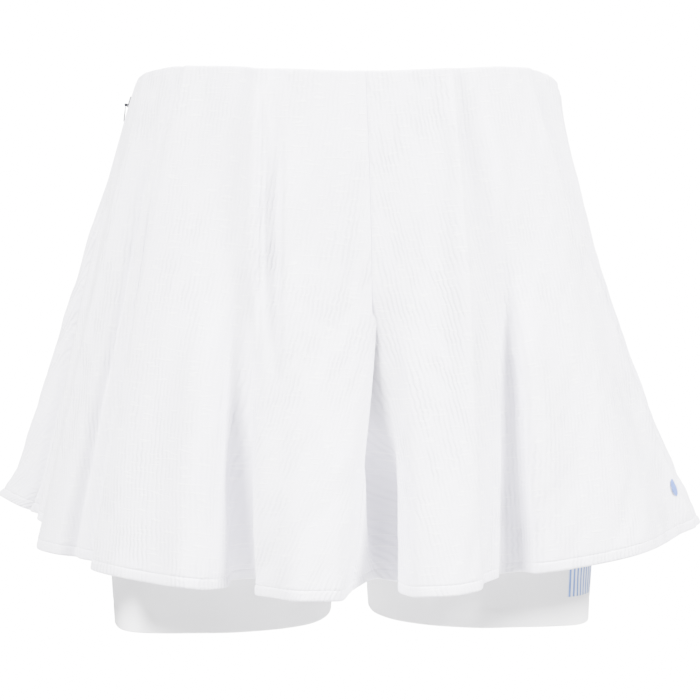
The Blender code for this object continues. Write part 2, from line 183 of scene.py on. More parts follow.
# A row for each ridge, valley or seam, in order round the skirt from the centre back.
# waist_deg and hem_deg: where it leaves the waist and reaches the hem, 0 at the front, + to +X.
# tuck and out: mm that it stands out of the plain cone at the waist and at the hem.
# cut: mm of cloth, waist to hem.  start: share of the way down at which its hem form begins.
# flare: 1 on a straight cone, more where the cloth hugs the hip first.
# bow: degrees that it swings to the wearer's left halfway down.
# edge: mm that the waist edge sits low.  kick: mm that the last tenth turns outwards.
Fold = namedtuple("Fold", "name waist_deg hem_deg tuck out cut start flare bow edge kick")
FOLDS = [Fold(*row) for row in (
    ("centre back seam", -180, -180, 0, -10, 320, 0.25, 1, 0, 0, 0),
    ("back right ridge 1", -169, -167, 0, 21, 320, 0.2, 1, 0, 0, 0),
    ("back right valley 1", -158, -156, 0, -13, 320, 0.25, 1, 0, 0, 0),
    ("back right ridge 2", -147, -142, 0, 25, 319, 0.15, 1, 0, 1, 0),
    ("back right valley 2", -133, -130, 0, -12, 317, 0.2, 1, 0, 3, 0),
    ("back right ridge 3", -119, -121, 0, 18, 311, 0.1, 1, 0, 5, 0),
    ("side right valley", -111, -114, 0, 2, 304, 0.05, 0.9, 0, 7, 0),
    ("side right lobe", -102, -106, 1.5, 27, 300, 0, 0.88, 0, 8, 7),
    ("right side seam", -96, -101, 1, 4, 299, 0, 0.9, 0, 8, 3),
    ("side right tuck", -82, -92, 0, -10, 305, 0, 1, 0, 5, 0),
    ("front right lobe edge", -72, -75, 2, 0, 317, 0, 1, 0, 3, 0),
    ("front right lobe", -63, -62, 1, 6, 317, 0, 1, 0, 1, 0),
    ("front right tuck", -56, -52, 0, -10, 319, 0, 1, 0, 0, 0),
    ("front right panel edge", -51, -50.5, 2.5, 11, 322, 0, 1, -0.5, 0, 0),
    ("front right panel", -40, -40, 1, 20, 324, 0.1, 1, 0, 0.5, 0),
    ("front right panel turn", -32, -28, 1, 20, 325, 0.3, 1, 0, 1.2, 0),
    ("front right valley", -27, -20.5, 3, -18, 321, 0.38, 1, -0.8, 2.5, 0),
    ("centre right lobe edge", -23, -16.2, 0, 16, 326, 0.35, 1, -0.5, 2.5, 0),
    ("centre right lobe", -13, -11, 0.5, 34, 328, 0.35, 1, 0.5, 3.3, 0),
    ("centre right lobe turn", -4, -4.6, 1, 26, 327, 0.4, 1, 1.8, 4, 0),
    ("centre front seam", 0.5, -2.4, 1, -3, 323, 0.42, 1, 2.2, 4, 0),
    ("centre front valley", 4, 2.4, 1, -25, 320, 0.42, 1, 1.8, 4, 0),
    ("centre left lobe edge", 10, 7, 1, 19, 326, 0.38, 1, 1.4, 3.5, 0),
    ("centre left lobe", 17, 12, 0.5, 30, 327, 0.3, 1, 1, 2.7, 0),
    ("centre left lobe turn", 24, 17, 2.5, 24, 325, 0.1, 1, 1, 2, 0),
    ("front left valley", 32, 24, 0, -18, 321, 0.15, 1, 0.6, 1, 0),
    ("front left panel", 41, 34, 0, 8, 320, 0.2, 1.05, 0, 0.2, 0),
    ("front left panel crown", 51, 51, 0.5, 20, 319, 0.1, 1.1, 0, 0.5, 0),
    ("front left panel turn", 60, 69, 0.5, 13, 317, 0, 1.2, 0, 3, 0),
    ("front left panel edge", 67, 84, 3.5, 24, 314, 0, 1.3, 0, 8, 0),
    ("left side seam", 75, 93, 0, -4, 309, 0, 1.3, 0, 12, 0),
    ("side left lobe", 90, 107, 1.5, 20, 303, 0, 1.3, 0, 17, 0),
    ("side left valley", 107, 118, 0, -6, 305, 0.1, 1.2, 0, 14, 0),
    ("back left ridge 3", 122, 129, 0, 20, 312, 0.1, 1.1, 0, 9, 0),
    ("back left valley 2", 135, 140, 0, -14, 317, 0.2, 1, 0, 5, 0),
    ("back left ridge 2", 147, 151, 0, 22, 319, 0.15, 1, 0, 2, 0),
    ("back left valley 1", 160, 162, 0, -12, 320, 0.2, 1, 0, 0, 0),
    ("back left ridge 1", 170, 171, 0, 16, 320, 0.25, 1, 0, 0, 0),
)]
FOLD_NAMES = [fold.name for fold in FOLDS]

# Creases: soft troughs and ridges on top of the folds, a row each. Right and left are the wearer's.
# top_deg and end_deg: the line of cloth that it starts and ends on, by its bearing at the waist.
# top and end: mm below the waist edge, less than 0 where it comes over that edge.
# to_right and to_left: mm over which it fades towards the wearer's right and towards the left.
# rise: mm, less than 0 in a trough.
Crease = namedtuple("Crease", "name top_deg end_deg top end to_right to_left rise")
CREASES = [Crease(*row) for row in (
    ("front right valley", -28.6, -27.4, 118, 520, 9, 8, -7),
    ("its right shoulder", -33.8, -32.6, 130, 520, 16, 7, 6.5),
    ("its left shoulder", -24, -23.4, 190, 520, 6, 12, 5.5),
    ("its depth near the hem", -27.4, -27, 200, 520, 8, 7, -4.8),
    ("centre front valley", -1.6, 9.8, 130, 420, 8, 8, -19),
    ("its right shoulder", -7, -5.5, 180, 520, 14, 7, 3),
    ("its left shoulder", 7.6, 13.5, 150, 420, 6, 14, 4),
    ("front left valley", 35.4, 36.4, 110, 520, 6, 6, -5),
    ("its right shoulder", 29.6, 31.2, 110, 520, 12, 5, 7.5),
    ("its left shoulder", 38.6, 38.8, 120, 520, 5, 18, 8.5),
    ("its depth near the hem", 35.4, 35.6, 236, 520, 6, 6, -4.5),
    ("pleat beside the right lobe", -24.7, -22.4, 6, 200, 1.4, 6, -2.6),
    ("pleat's floor", -22.1, -20.4, 10, 205, 3.6, 3, -3.2),
    ("pleat's sharp edge", -26.9, -24.6, -6, 220, 10, 1.4, 4.2),
    ("pleat's soft edge", -19.6, -18.4, 20, 210, 2.2, 9, 3.6),
    ("tuck from the waist, right", -50.9, -57.6, -12, 66, 6, 1.3, -4.2),
    ("ridge beside that tuck", -49.2, -55.6, -12, 72, 1.3, 5, 2.6),
    ("trough beside the right panel", -60.9, -59.9, 8, 520, 8, 2.4, -7.5),
    ("right panel's edge", -57.4, -57.8, 14, 520, 1.7, 9, 4.4),
    ("right corner crease 1", -63.5, -62.5, -8, 46, 2, 1.4, -1.2),
    ("right corner crease 2", -68, -70.5, 4, 90, 1.8, 2.6, 1.4),
    ("right corner crease 3", -77, -80, -5, 62, 2.4, 1.8, -1.2),
    ("line in the right lobe", -72.5, -74.5, 40, 290, 4.5, 1.6, -3.8),
    ("ridge in the right lobe", -69.5, -71, 30, 300, 1.8, 6, 3),
    ("trough by the right side seam", -93.5, -94.5, 60, 520, 4, 5, -7.5),
    ("right lobe's far edge", -86.6, -88, 50, 520, 2, 7, 3.2),
    ("left lobe's shadow, upper", 25.4, 25.8, -6, 200, 1.2, 13, -5.2),
    ("left lobe's shadow, lower", 23.6, 28, 130, 520, 1.6, 5, -2),
    ("left lobe's ridge", 22.9, 23.6, -6, 250, 10, 1.3, 5),
    ("left panel's first swell", 33.6, 34.2, 16, 130, 5, 9, 2),
    ("soft line in the left lobe", 15, 14.4, 30, 150, 3, 5, -1.2),
    ("short tuck from the waist, left", 28.6, 29.6, -8, 30, 1.4, 1.8, -1.1),
    ("second short tuck, left", 35, 36.5, -6, 22, 1.4, 1.6, -0.8),
    ("left panel's edge, upper", 51, 62.1, 0, 160, 9, 1.5, 3),
    ("left panel's edge, lower", 61, 65.8, 80, 520, 9, 1.7, 3.4),
    ("trough past the left panel, upper", 53.4, 65.4, -8, 190, 1.8, 9, -6.4),
    ("trough past the left panel, lower", 63.6, 68.8, 76, 520, 2, 9, -8),
    ("left corner tuck", 58.5, 64, -8, 52, 1.4, 2.4, -1.5),
    ("left side crease", 73, 77, 40, 190, 2.6, 3.2, -1.8),
    ("left side ridge", 84, 88, 10, 130, 3, 2.4, 1.4),
    ("left side trough", 97, 101, 30, 300, 3, 6, -3),
    ("left back tuck", 113, 116, -8, 84, 2.2, 1.4, -1.6),
    ("left back ridge", 128, 130, 20, 190, 2.8, 1.6, 1.2),
    ("left back shadow line", 140.5, 144, 8, 180, 1.4, 8, -3),
    ("left back valley", 160.5, 159, 150, 520, 9, 11, -8),
    ("back pleat, left", 153, 155.5, 15, 200, 6.5, 1.6, -3.2),
    ("back short tuck, left", 165, 166, -8, 32, 1.4, 1.6, -1.1),
    ("back short tuck, right", -173, -172, -8, 36, 1.6, 1.4, -1.1),
    ("back pleat, right", -163.5, -161, 18, 190, 1.6, 7, -3.4),
    ("right back valley", -158.5, -160.5, 170, 520, 10, 9, -8),
    ("right back shadow line", -152, -150.5, 10, 150, 6, 1.6, -2.2),
    ("right back ridge", -139, -136, 16, 240, 1.6, 3, 1.3),
    ("right back second valley", -132, -133.5, 130, 520, 8, 8, -6),
    ("right back tuck", -126.5, -128, -8, 78, 1.4, 2.2, -1.5),
    ("right side pull", -108, -111, -6, 120, 3.4, 1.8, -1.6),
)]
CREASE_FADE = 0.075  # length over which a crease comes in, and goes out again
FADE_MOST = 0.45  # but no more than this share of its own length
CREASE_PAST_SEAM = 4  # degrees past a gore's seams at which a crease still reaches into it
EDGE_SHARE = 0.35  # how much of a crease is left at the waist's edge
EDGE_CALM = (0.002, 0.040)  # depths between which it grows to the whole of it

WAIST_ROLL = 0.0009  # radius of the turned waist edge, at the middle of the cloth
HEM_ROLL = 0.0008
HEM_TURN = 0.0112  # height of the hem's turned-up cloth
HEM_STITCH = 0.0060  # the topstitching, up from the hem's edge
ZIP_END = 0.170  # the zip ends this far down the right side seam
ZIP_FADE = 0.012  # its ridge fades over this length
COLUMNS_PER_FOLD = 14
ROWS_BETWEEN = 84
SEAM_COLUMNS = (0.012, 0.026, 0.046)  # extra columns beside a seam, in rows of FOLDS
EDGE_ROOM = 0.0015  # from the turned edges' rows to the plain rows between them
SEAM_CALM = 0.012  # the cloth lies even at a seam, and is fully uneven this far from it
TUCK_TURN = (1, 0.7, 0.35, 0.12)  # how far the edge's first rows turn in, as shares of a tuck
ALLOWANCE = ((0.0011, 0.0001), (0.0019, 0.0012), (0.0021, 0.0042))  # in from a seam, back from it
ALLOWANCE_SPAN = (0.02, 0.98)  # shares of the plain rows between which it has that size
ALLOWANCE_LEAST = 0.08

# Relief along a line: mm that the cloth rises there, the line's distance from a seam or a hem, and
# the distance over which the relief fades.
SEAM_GROOVE = (-1.5, 0, 0.0007)
ALLOWANCE_RIDGE = (0.35, 0.0042, 0.0026)
ZIP_RIDGE = (0.45, 0.0021, 0.0012)
HEM_GROOVE = (-0.60, HEM_STITCH, 0.0006)
HEM_PILLOW = (0.06, HEM_STITCH / 2, 0.0018)

# The soft unevenness of a gore: its seed, mm, widths, lengths and number of waves.
SWELLS = (
    (11, 0.9, (0.022, 0.070), (0.09, 0.30), 14),
    (57, 0.30, (0.007, 0.018), (0.03, 0.10), 24),
)


def smooth_column(places, values, at, period=None):
    """Monotone cubic through the values: no ridge overshoots the height its row gives."""
    places = np.asarray(places, float)
    values = np.asarray(values, float)
    if period is not None:
        turn, rise = period
        places = np.concatenate((places[-2:] - turn, places, places[:3] + turn))
        values = np.concatenate((values[-2:] - rise, values, values[:3] + rise))
    run = np.diff(places)
    slope = np.diff(values) / run
    before, after = slope[:-1], slope[1:]
    weight_before = 2 * run[1:] + run[:-1]
    weight_after = run[1:] + 2 * run[:-1]
    same_way = before * after > 0
    safe_before = np.where(same_way, before, 1)
    safe_after = np.where(same_way, after, 1)
    mean = (weight_before + weight_after) / (weight_before / safe_before + weight_after / safe_after)
    tangent = np.concatenate(([slope[0]], np.where(same_way, mean, 0), [slope[-1]]))
    span = np.clip(np.searchsorted(places, at, side="right") - 1, 0, len(run) - 1)
    t = (at - places[span]) / run[span]
    start_value, end_value = values[span], values[span + 1]
    start_pull, end_pull = tangent[span] * run[span], tangent[span + 1] * run[span]
    return (start_value * (1 + 2 * t) * (1 - t) ** 2 + start_pull * t * (1 - t) ** 2
            + end_value * t * t * (3 - 2 * t) - end_pull * t * t * (1 - t))


def unit(vectors):
    return vectors / np.linalg.norm(vectors, axis=-1, keepdims=True)


def ease(value, low, high):
    share = np.clip((value - low) / (high - low), 0, 1)
    return share * share * (3 - 2 * share)


def bead(distance, rise, line, fade):
    """Metres of relief along a line that is at one distance from a seam or a hem."""
    return rise * MM * np.exp(-((distance - line) / fade) ** 2)


def length_along(points):
    """Running length over the first axis of the points."""
    steps = np.linalg.norm(np.diff(points, axis=0), axis=-1)
    return np.concatenate((steps[:1] * 0, np.cumsum(steps, axis=0)))


def fold_column(field, turn, rise=0):
    """One column of FOLDS, read smoothly at any place round the skirt."""
    values = [getattr(fold, field) for fold in FOLDS]
    return smooth_column(range(len(FOLDS)), values, turn, (len(FOLDS), rise))[:, None]


def skirt_cloth(turn, down):
    """Outer face of the skirt: turn counts rows of FOLDS round it, down is the share of the cut."""
    waist = np.radians(fold_column("waist_deg", turn, 360))
    hem = np.radians(fold_column("hem_deg", turn, 360))
    cut, start = fold_column("cut", turn) * MM, fold_column("start", turn)
    turned = waist + (hem - waist) * down + np.radians(fold_column("bow", turn)) * np.sin(math.pi * down)
    half_width = WAIST_HALF_WIDTH + (HEM_HALF_WIDTH - WAIST_HALF_WIDTH) * down ** fold_column("flare", turn)
    front_depth = WAIST_HALF_DEPTH + (HEM_FRONT_DEPTH - WAIST_HALF_DEPTH) * down
    back_depth = WAIST_HALF_DEPTH + (HEM_BACK_DEPTH - WAIST_HALF_DEPTH) * down ** SEAT_FULLNESS
    half_depth = np.where(np.cos(turned) < 0, back_depth, front_depth)
    outward = unit(np.stack((np.sin(turned) * half_depth, -np.cos(turned) * half_width), -1))
    depth_in_fold = np.clip((down - start) / (1 - start), 0, 1) ** FOLD_GROWTH
    kicked = np.clip((down - KICK_FROM) / (1 - KICK_FROM), 0, 1) ** 2 * fold_column("kick", turn)
    stand = fold_column("tuck", turn) * (1 - down) + fold_column("out", turn) * depth_in_fold + kicked
    level = np.stack((half_width * np.sin(turned), -half_depth * np.cos(turned)), -1)
    level += outward * stand[..., None] * MM
    step = cut * np.diff(down, axis=1)
    step_out = np.linalg.norm(np.diff(level, axis=1), axis=-1)
    step_down = np.sqrt(np.maximum(step ** 2 - step_out ** 2, (LEAST_DROP * step) ** 2))
    height = -np.concatenate((np.zeros((len(turn), 1)), np.cumsum(step_down, axis=1)), axis=1)
    height -= fold_column("edge", turn) * MM
    return np.concatenate((level, height[..., None]), axis=-1)


def roll(radius, degrees):
    """A rolled edge at an angle round it: how far from the edge's tip, and how far turned in."""
    turned = math.radians(degrees)
    return radius * (1 - math.sin(turned)), radius * (1 - math.cos(turned))


def skirt_path():
    """The cloth's path down the skirt, round the hem and up inside: (from, metres or share, inset)."""
    path = [("waist", *roll(WAIST_ROLL, degrees)) for degrees in (150, 125, 100, 80, 55, 30, 0)]
    path += [("between", share, 0) for share in np.linspace(0, 1, ROWS_BETWEEN)]
    near_stitch = (1.9, 1.75, 1.6, 1.45, 1.3, 1.18, 1.1, 1.05, 1, 0.95, 0.9, 0.82, 0.7, 0.55, 0.4, 0.27)
    path += [("hem", HEM_STITCH * share, 0) for share in near_stitch]
    path += [("hem", *roll(HEM_ROLL, degrees)) for degrees in range(0, 181, 30)]
    path += [("hem", HEM_STITCH * share, 2 * HEM_ROLL) for share in (0.4, 0.7, 1, 1.3, 1.6)]
    path += [("hem", HEM_TURN, 2 * HEM_ROLL)]
    return path


def uneven(across, down, seed, amount, widths, lengths, waves=14):
    """Soft unevenness: long, narrow swells that no two stretches of cloth share."""
    draw = np.random.default_rng(seed)
    total = np.zeros_like(across)
    for _ in range(waves):
        width, length = draw.uniform(*widths), draw.uniform(*lengths)
        phase, start, slant = draw.uniform(0, 2 * math.pi), draw.uniform(0, 2 * math.pi), draw.normal(0, 0.1)
        total += (np.sin(2 * math.pi * (across + slant * down) / width + phase)
                  * np.sin(2 * math.pi * down / length + start) * width / widths[1])
    return total * amount / math.sqrt(waves)


def finish_mesh(bm, name, finish):
    mesh = bpy.data.meshes.new(name)
    bm.to_mesh(mesh)
    bm.free()
    mesh.shade_smooth()
    mesh.materials.append(finish.material)
    piece = bpy.data.objects.new(name, mesh)
    bpy.context.scene.collection.objects.link(piece)
    return piece


def lay_cloth(name, points, flat, thickness, finish):
    """A piece of cloth: points[column, row] in space, flat[column, row] where they were before sewing.

    Columns run to the wearer's left in front and rows run down, so that its face looks outwards.
    """
    columns, rows = points.shape[:2]
    bm = bmesh.new()
    bmesh.ops.create_grid(bm, x_segments=columns - 1, y_segments=rows - 1, size=1)
    piece = finish_mesh(bm, name, finish)
    mesh = piece.data
    made = np.empty(len(mesh.vertices) * 3)
    mesh.vertices.foreach_get("co", made)
    made = made.reshape(-1, 3)
    column = np.rint((1 + made[:, 0]) / 2 * (columns - 1)).astype(int)
    row = np.rint((1 - made[:, 1]) / 2 * (rows - 1)).astype(int)
    mesh.vertices.foreach_set("co", points[column, row].ravel())
    corner = np.empty(len(mesh.loops), dtype=np.int32)
    mesh.loops.foreach_get("vertex_index", corner)
    mesh.uv_layers.new(name="cloth").data.foreach_set("uv", flat[column[corner], row[corner]].ravel())
    mesh.update()
    wall = piece.modifiers.new("wall", "SOLIDIFY")
    wall.thickness = thickness
    wall.offset = 0
    return piece


def crease_relief(turn, across, down, bearing):
    """Metres that the creases raise each point, from its place across and down the cloth."""
    relief = np.zeros_like(across)
    for crease in CREASES:
        top, end = crease.top * MM, crease.end * MM
        share = np.clip((down - top) / (end - top), 0, 1)
        line_deg = crease.top_deg + (crease.end_deg - crease.top_deg) * share
        if line_deg.min() < bearing[0] - CREASE_PAST_SEAM or line_deg.max() > bearing[-1] + CREASE_PAST_SEAM:
            continue
        fade = min(CREASE_FADE / (end - top), FADE_MOST)
        if top < 0:
            present = 1 - ease(share, 1 - 2 * fade, 1)
        else:
            present = ease(share, 0, fade) * (1 - ease(share, 1 - fade, 1))
        place = np.interp(line_deg.mean(axis=0), bearing, np.arange(len(turn)))
        middle = np.array([np.interp(place[row], np.arange(len(turn)), across[:, row])
                           for row in range(across.shape[1])])
        distance = across - middle
        reach = np.where(distance < 0, crease.to_right, crease.to_left) * MM
        relief += crease.rise * MM * present * np.exp(-(distance / reach) ** 2)
    return relief * (EDGE_SHARE + (1 - EDGE_SHARE) * ease(down, *EDGE_CALM))


Gore = namedtuple("Gore", "points flat face normals depth bearing stitch_row")


def make_gore(first_seam, last_seam, zip_side=None):
    """One gore's cloth, from seam to seam and round its turned edges."""
    first, last = FOLD_NAMES.index(first_seam), FOLD_NAMES.index(last_seam)
    last += len(FOLDS) if last <= first else 0
    turn = np.linspace(first, last, (last - first) * COLUMNS_PER_FOLD + 1)
    beside = [first + step for step in SEAM_COLUMNS] + [last - step for step in SEAM_COLUMNS]
    beyond = [first - SEAM_COLUMNS[0], last + SEAM_COLUMNS[0]]
    turn = np.sort(np.concatenate((turn, beside, beyond)))

    # The rows that the path needs, once each, in order down the cloth.
    path = skirt_path()
    from_waist = sorted({place for kind, place, _ in path if kind == "waist"})
    between = sorted({place for kind, place, _ in path if kind == "between"})
    from_hem = sorted({place for kind, place, _ in path if kind == "hem"}, reverse=True)
    cut = fold_column("cut", turn) * MM
    low, high = (from_waist[-1] + EDGE_ROOM) / cut, 1 - (from_hem[0] + EDGE_ROOM) / cut
    down = np.concatenate((np.array(from_waist) / cut, low + (high - low) * np.array(between),
                           1 - np.array(from_hem) / cut), axis=1)
    rows = {("waist", place): i for i, place in enumerate(from_waist)}
    rows |= {("between", place): i + len(from_waist) for i, place in enumerate(between)}
    rows |= {("hem", place): i + len(from_waist) + len(between) for i, place in enumerate(from_hem)}

    surface = skirt_cloth(turn, down)
    normals = unit(np.cross(np.gradient(surface, axis=1), np.gradient(surface, turn, axis=0)))
    bearing = fold_column("waist_deg", turn, 360)[:, 0]
    tuck = fold_column("tuck", turn) * MM
    surface, normals, down, turn, bearing, cut, tuck = (
        field[1:-1] for field in (surface, normals, down, turn, bearing, cut, tuck))

    across = length_along(surface)
    width = across[-1:]
    depth = down * cut
    relief = crease_relief(turn, across, depth, bearing)
    calm = ease(np.minimum(across, width - across), 0, SEAM_CALM)
    for seed, rise, widths, lengths, waves in SWELLS:
        relief += uneven(across, depth, first + seed, rise * MM, widths, lengths, waves) * calm
    for seam, from_seam in (("first", across), ("last", width - across)):
        relief += bead(from_seam, *SEAM_GROOVE) + bead(from_seam, *ALLOWANCE_RIDGE)
        if seam == zip_side:
            relief += bead(from_seam, *ZIP_RIDGE) * (1 - ease(depth, ZIP_END - ZIP_FADE, ZIP_END))
    relief += bead(cut - depth, *HEM_GROOVE) + bead(cut - depth, *HEM_PILLOW)

    # Set the middle of the cloth back from the face, and turn its edges in.
    back_from_seam = CLOTH / 2 + SEAM_GAP / 2
    surface[0] += unit(surface[1] - surface[0]) * back_from_seam
    surface[-1] += unit(surface[-2] - surface[-1]) * back_from_seam
    points, flat = [], []
    reach_in = dict(zip(path, TUCK_TURN))
    for step in path:
        kind, place, inset = step
        row = rows[kind, place]
        back = CLOTH / 2 + inset + reach_in.get(step, 0) * np.maximum(tuck, 0) - relief[:, row:row + 1]
        points.append(surface[:, row] - normals[:, row] * back)
        along = depth[:, row]
        if kind == "hem" and inset >= HEM_ROLL:
            along = 2 * cut[:, 0] - depth[:, row]
        flat.append(np.stack((across[:, row] - width[:, row] / 2, -along), -1))
    points, flat = np.stack(points, axis=1), np.stack(flat, axis=1)

    # The seam allowance, pressed back inside from each seam.
    plain = np.array([1 if kind == "between" and ALLOWANCE_SPAN[0] < place < ALLOWANCE_SPAN[1]
                      else ALLOWANCE_LEAST for kind, place, _ in path])
    row_of = [rows[kind, place] for kind, place, _ in path]
    for end, inside in ((0, 1), (-1, -2)):
        into = unit(surface[inside] - surface[end])[row_of]
        inwards = -normals[end][row_of]
        seam_line = points[end]
        for turned_in, folded_back in ALLOWANCE:
            flange = (seam_line + (inwards * turned_in + into * folded_back) * plain[:, None])[None]
            slid = (flat[end] + np.array([(1 if end else -1) * turned_in, 0]))[None]
            points = np.concatenate((points, flange) if end else (flange, points))
            flat = np.concatenate((flat, slid) if end else (slid, flat))
    face = surface + normals * relief[..., None]
    return Gore(points, flat, face, normals, depth, bearing, rows["hem", HEM_STITCH])


GORES = (
    ("skirt_back_right", "centre back seam", "right side seam", "last", (0.414, 0.331), 0.0889),
    ("skirt_front_right", "right side seam", "centre front seam", "first", (0.455, 0.339), 0.1031),
    ("skirt_front_left", "centre front seam", "left side seam", None, (0.459, 0.338), 0.0953),
    ("skirt_back_left", "left side seam", "centre back seam", None, (0.402, 0.331), 0.0941),
)
gores = {}
for node, first_seam, last_seam, zip_side, flat_size, flat_area in GORES:
    made = make_gore(first_seam, last_seam, zip_side)
    piece = lay_cloth(f"{node}_cloth", made.points, made.flat, CLOTH, ribbed)
    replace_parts(piece, node)
    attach(piece, "garment")
    gores[node] = (piece, made, flat_size, flat_area)

# ------------------------------
# Hem topstitching: one row of white thread round the skirt, 6 mm above its edge. Each stitch sinks a
# little into the jersey and leaves a short gap before the next.

STITCH_PITCH = 0.0030
STITCH_LENGTH = 0.0023
STITCH_AHEAD = 0.0004  # a stitch points to the place this far on
THREAD = 0.00042
THREAD_FLAT = 0.84  # its height for its width

thread = Finish("white_thread", roughness=0.6, sheen_weight=0.1)
twist = thread.speckle(2600.0, detail=1.0)
thread.feed("Base Color", thread.mix(twist, (0.86, 0.86, 0.88), (0.93, 0.93, 0.945)))
thread.raise_by(twist * 0.03)


def add_thread(bm, place, forward, out, length, width, height):
    """One stitch of thread: a long bead that lies on cloth facing out."""
    out = (out - forward * out.dot(forward)).normalized()
    turn = Matrix((forward, out.cross(forward), out)).transposed().to_4x4()
    size = Matrix.Diagonal((length / 2, width / 2, height / 2, 1))
    lie_along = Matrix.Rotation(math.pi / 2, 4, "Y")  # a sphere's poles go to the stitch's two ends
    bmesh.ops.create_uvsphere(bm, u_segments=8, v_segments=5, radius=1,
                              matrix=Matrix.Translation(place) @ turn @ size @ lie_along)


def read_along(at, along, field):
    return Vector([np.interp(at, along, field[:, axis]) for axis in range(3)])


def sew(name, line, faces, finish):
    """A row of stitches along a line that lies on cloth facing that way."""
    along = length_along(line)
    bm = bmesh.new()
    for middle in np.arange(STITCH_PITCH, along[-1] - STITCH_PITCH / 2, STITCH_PITCH):
        place, out = read_along(middle, along, line), read_along(middle, along, faces)
        ahead = read_along(middle + STITCH_AHEAD, along, line)
        add_thread(bm, place, (ahead - place).normalized(), out, STITCH_LENGTH, THREAD, THREAD * THREAD_FLAT)
    return finish_mesh(bm, name, finish)


for node, (piece, made, flat_size, flat_area) in gores.items():
    stitch_line, stitch_faces = made.face[:, made.stitch_row], made.normals[:, made.stitch_row]
    stitches = sew(f"{node}_hem_stitches", stitch_line, stitch_faces, thread)
    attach(stitches, "garment")

# ------------------------------
# Small mark place on the skirt, low on the wearer's left front: a plain blue oval in satin stitch,
# its threads laid side by side across it.

MARK_BEARING = 62.5
MARK_DOWN = 0.286
MARK_WIDTH = 0.0070
MARK_HEIGHT = 0.0120
SATIN_THREAD = 0.00042
MARK_BLUE = (0.080, 0.160, 0.500)
MARK_SHADE = (0.050, 0.110, 0.400)

satin = Finish("blue_satin_thread", roughness=0.42, sheen_weight=0.2)
lustre = satin.speckle(1900.0, detail=1.0)
satin.feed("Base Color", satin.mix(lustre, MARK_SHADE, MARK_BLUE))
satin.raise_by(lustre * 0.04)

front_left = gores["skirt_front_left"][1]
column = int(np.abs(front_left.bearing - MARK_BEARING).argmin())
row = int(np.abs(front_left.depth[column] - MARK_DOWN).argmin())
middle = Vector(front_left.face[column, row])
out = Vector(front_left.normals[column, row])
down_cloth = Vector(front_left.face[column, row + 2] - front_left.face[column, row - 2]).normalized()
across_cloth = down_cloth.cross(out).normalized()
bm = bmesh.new()
count = round(MARK_HEIGHT / SATIN_THREAD)
for number in range(count):
    share = 2 * (number + 0.5) / count - 1
    place = middle + down_cloth * (share * MARK_HEIGHT / 2) + out * SATIN_THREAD * 0.2
    add_thread(bm, place, across_cloth, out, MARK_WIDTH * math.sqrt(1 - share ** 2) + SATIN_THREAD,
               SATIN_THREAD * 1.3, SATIN_THREAD * (1.2 + 0.8 * (1 - share ** 2)))
mark = finish_mesh(bm, "skirt_mark_place", satin)
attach(mark, "garment")

# ------------------------------
# Shorts: close inner shorts in smooth stretch jersey, each half a front and a back panel that meet at
# the side, the inseam and the middle. The leg hems are turned up and pressed, with no stitching seen.
# The wearer's left thigh has a pale block knitted in, with even upright blue bars.

# A row for each level of half of the shorts, in mm: how far down it is, how far its outer and inner
# face stand from the body's middle, how far it reaches to the front and to the back, and how much
# lower its outer and inner side lie.
Section = namedtuple("Section", "name down outer inner front back low_out low_in")
SECTIONS = [Section(*row) for row in (
    ("waist", 0, 138, -138, 96, 96, 0, 0),
    ("high hip", 35, 139.8, -139.8, 97, 102, 0, 0),
    ("hip", 85, 148, -148, 100, 112, 0, 0),
    ("seat", 140, 158, -152, 101, 118, 0, 0),
    ("low seat", 180, 164, -124, 99, 116, 0, 0),
    ("upper thigh", 210, 165, -78, 96, 112, 1, 0),
    ("fork", 232, 165, -38, 93, 108, 2, 0),
    ("under fork", 246, 164.5, -12, 91, 106, 2.5, 0),
    ("crotch point", 253, 164, 0.6, 90, 105, 3, 0),
    ("inner thigh", 275, 163, 6, 88, 101, 4, 0.5),
    ("thigh", 315, 161, 10, 85, 97, 6, 1),
    ("leg hem", 359, 158.5, 13, 82, 93, 9, 2),
)]
SHORTS_EDGE_FADE = 0.110  # the shorts follow the skirt's low waist edge down to this depth
LEFT_LEG_WIDER = 0.004  # the wearer's left leg opening stands wider than the right one
SHORTS_CLOTH = 0.0009
SHORTS_WALL = 0.0014  # the room that the panel has, as solid cloth
SHORTS_SEAM_SET = 0.4  # an edge stands back this share of the cloth, so two just overlap
SHORTS_CALM = 0.010  # the panel is fully uneven this far from its seams
SHORTS_TOP = 0.0012  # its edge starts this far down, under the skirt's turned edge
LEG_TURN = 0.0140
LEG_ROLL = 0.0006
SHORTS_TOP_ROLL = 0.0004
SHORTS_SEAM_GROOVE = (-0.5, 0, 0.0009)
SHORTS_SEAM_RIDGE = (0.2, 0.0034, 0.0022)
LEG_TURN_GROOVE = (-0.18, LEG_TURN, 0.0012)
SHORTS_SWELL = (0.0007, (0.03, 0.09), (0.06, 0.20))  # rise, widths and lengths
SHORTS_SEAM_COLUMNS = (0.006, 0.014, 0.03)
SHORTS_COLUMNS = 44
SHORTS_ROWS = 96
WALE_PITCH = 0.85
BLOCK_LOW = 18.5
BLOCK_HIGH = 50.0
BLOCK_REACH = 70.0
BAR_PITCH = 5.2
SHORTS_WHITE = (0.940, 0.935, 0.955)
# the deeper white below serves both a random cloudiness and painted shade in the troughs between the wales
SHORTS_CLOUD_AND_WALE_SHADE = (0.895, 0.890, 0.916)
BLOCK_GROUND = (0.74, 0.79, 0.91)
BLOCK_BAR = (0.090, 0.180, 0.520)


